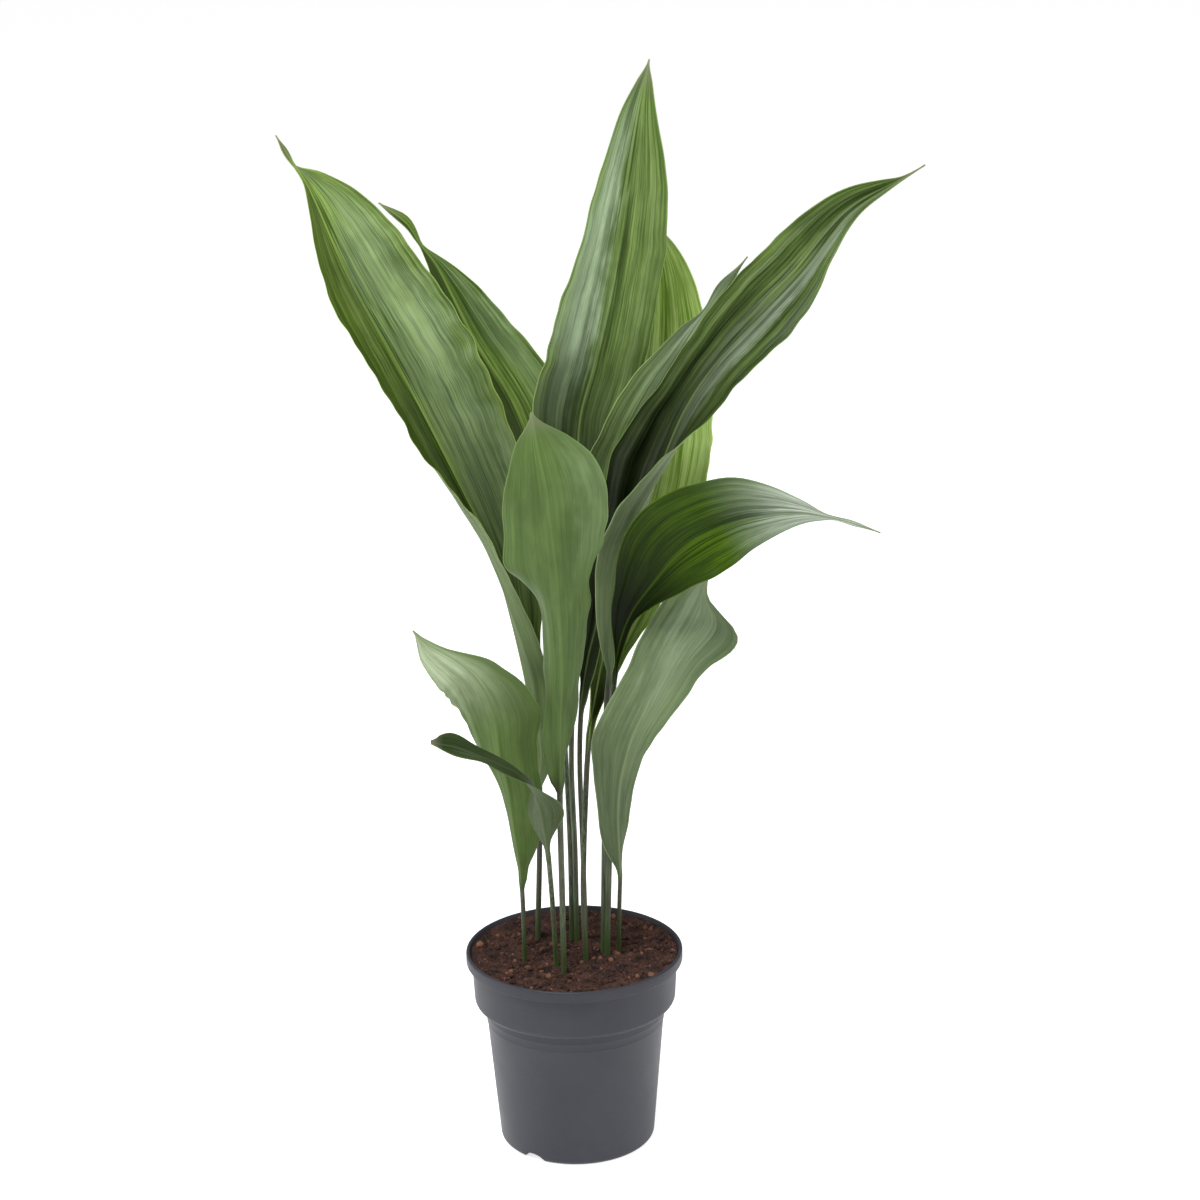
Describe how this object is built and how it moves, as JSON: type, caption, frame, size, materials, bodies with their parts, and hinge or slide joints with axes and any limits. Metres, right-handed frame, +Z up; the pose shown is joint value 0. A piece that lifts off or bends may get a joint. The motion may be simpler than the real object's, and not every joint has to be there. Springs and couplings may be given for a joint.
{
  "type": "potted cast iron plant",
  "caption": "Cast iron plant with long dark green leaves on thin bare stalks, standing in soil in a grey plastic nursery pot.",
  "frame": {"origin": "centre of the pot's flat underside", "axes": "+Z up along the pot's axis and the plant's height, -Y towards the viewer, +X to the viewer's right"},
  "size_m": [0.4909, 0.2549, 0.8382],
  "materials": {
    "pot_plastic": "satin",
    "soil": "matte",
    "leaf": "satin"
  },
  "bodies": {
    "root": {"pot": "pot_plastic", "soil": "soil", "leaf_left_tall": "leaf", "leaf_left_behind": "leaf", "leaf_centre_tall": "leaf", "leaf_back": "leaf", "leaf_right_tall": "leaf", "leaf_right_behind": "leaf", "leaf_right_arching": "leaf", "leaf_right_low": "leaf", "leaf_front": "leaf", "leaf_left_low": "leaf", "leaf_folded_small": "leaf"}
  },
  "joints": []
}
